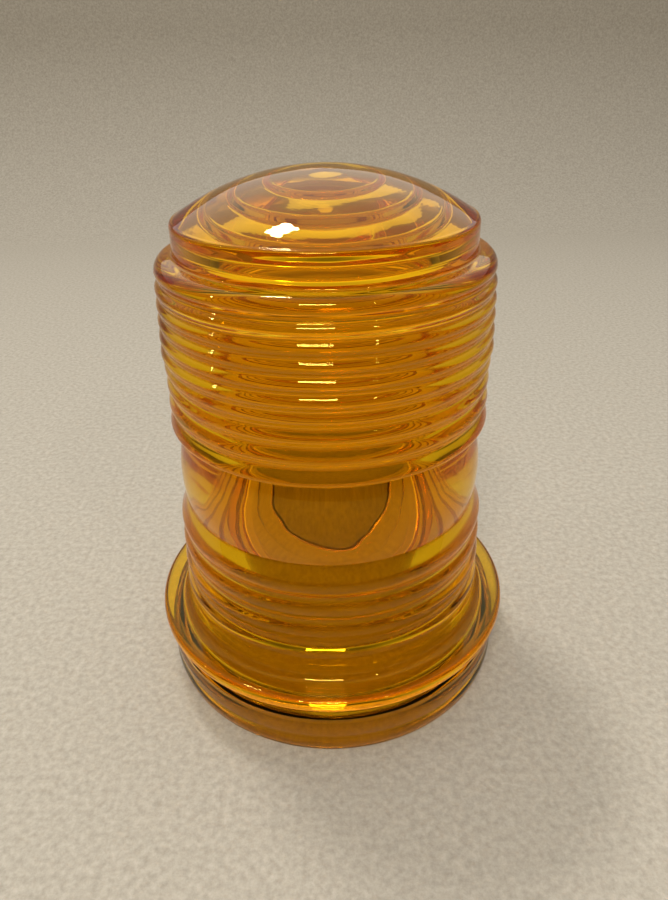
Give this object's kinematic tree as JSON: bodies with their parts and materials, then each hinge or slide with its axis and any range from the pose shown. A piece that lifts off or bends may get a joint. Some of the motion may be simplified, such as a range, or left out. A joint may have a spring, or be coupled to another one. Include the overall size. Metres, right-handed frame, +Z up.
{
  "type": "signal lens globe",
  "caption": "Amber pressed-glass all-round signal lens: ribbed hollow globe with domed top, smooth belt, wide flange and open foot ring.",
  "frame": {"origin": "middle of the plane that the foot ring stands on", "axes": "+Z up along the globe's axis, from the open foot to the domed crown; X and Y alike"},
  "size_m": [0.125, 0.125, 0.1688],
  "materials": {
    "amber_glass": "clear amber, fire-polished"
  },
  "bodies": {
    "root": {"lens_globe": "amber_glass"}
  },
  "joints": []
}
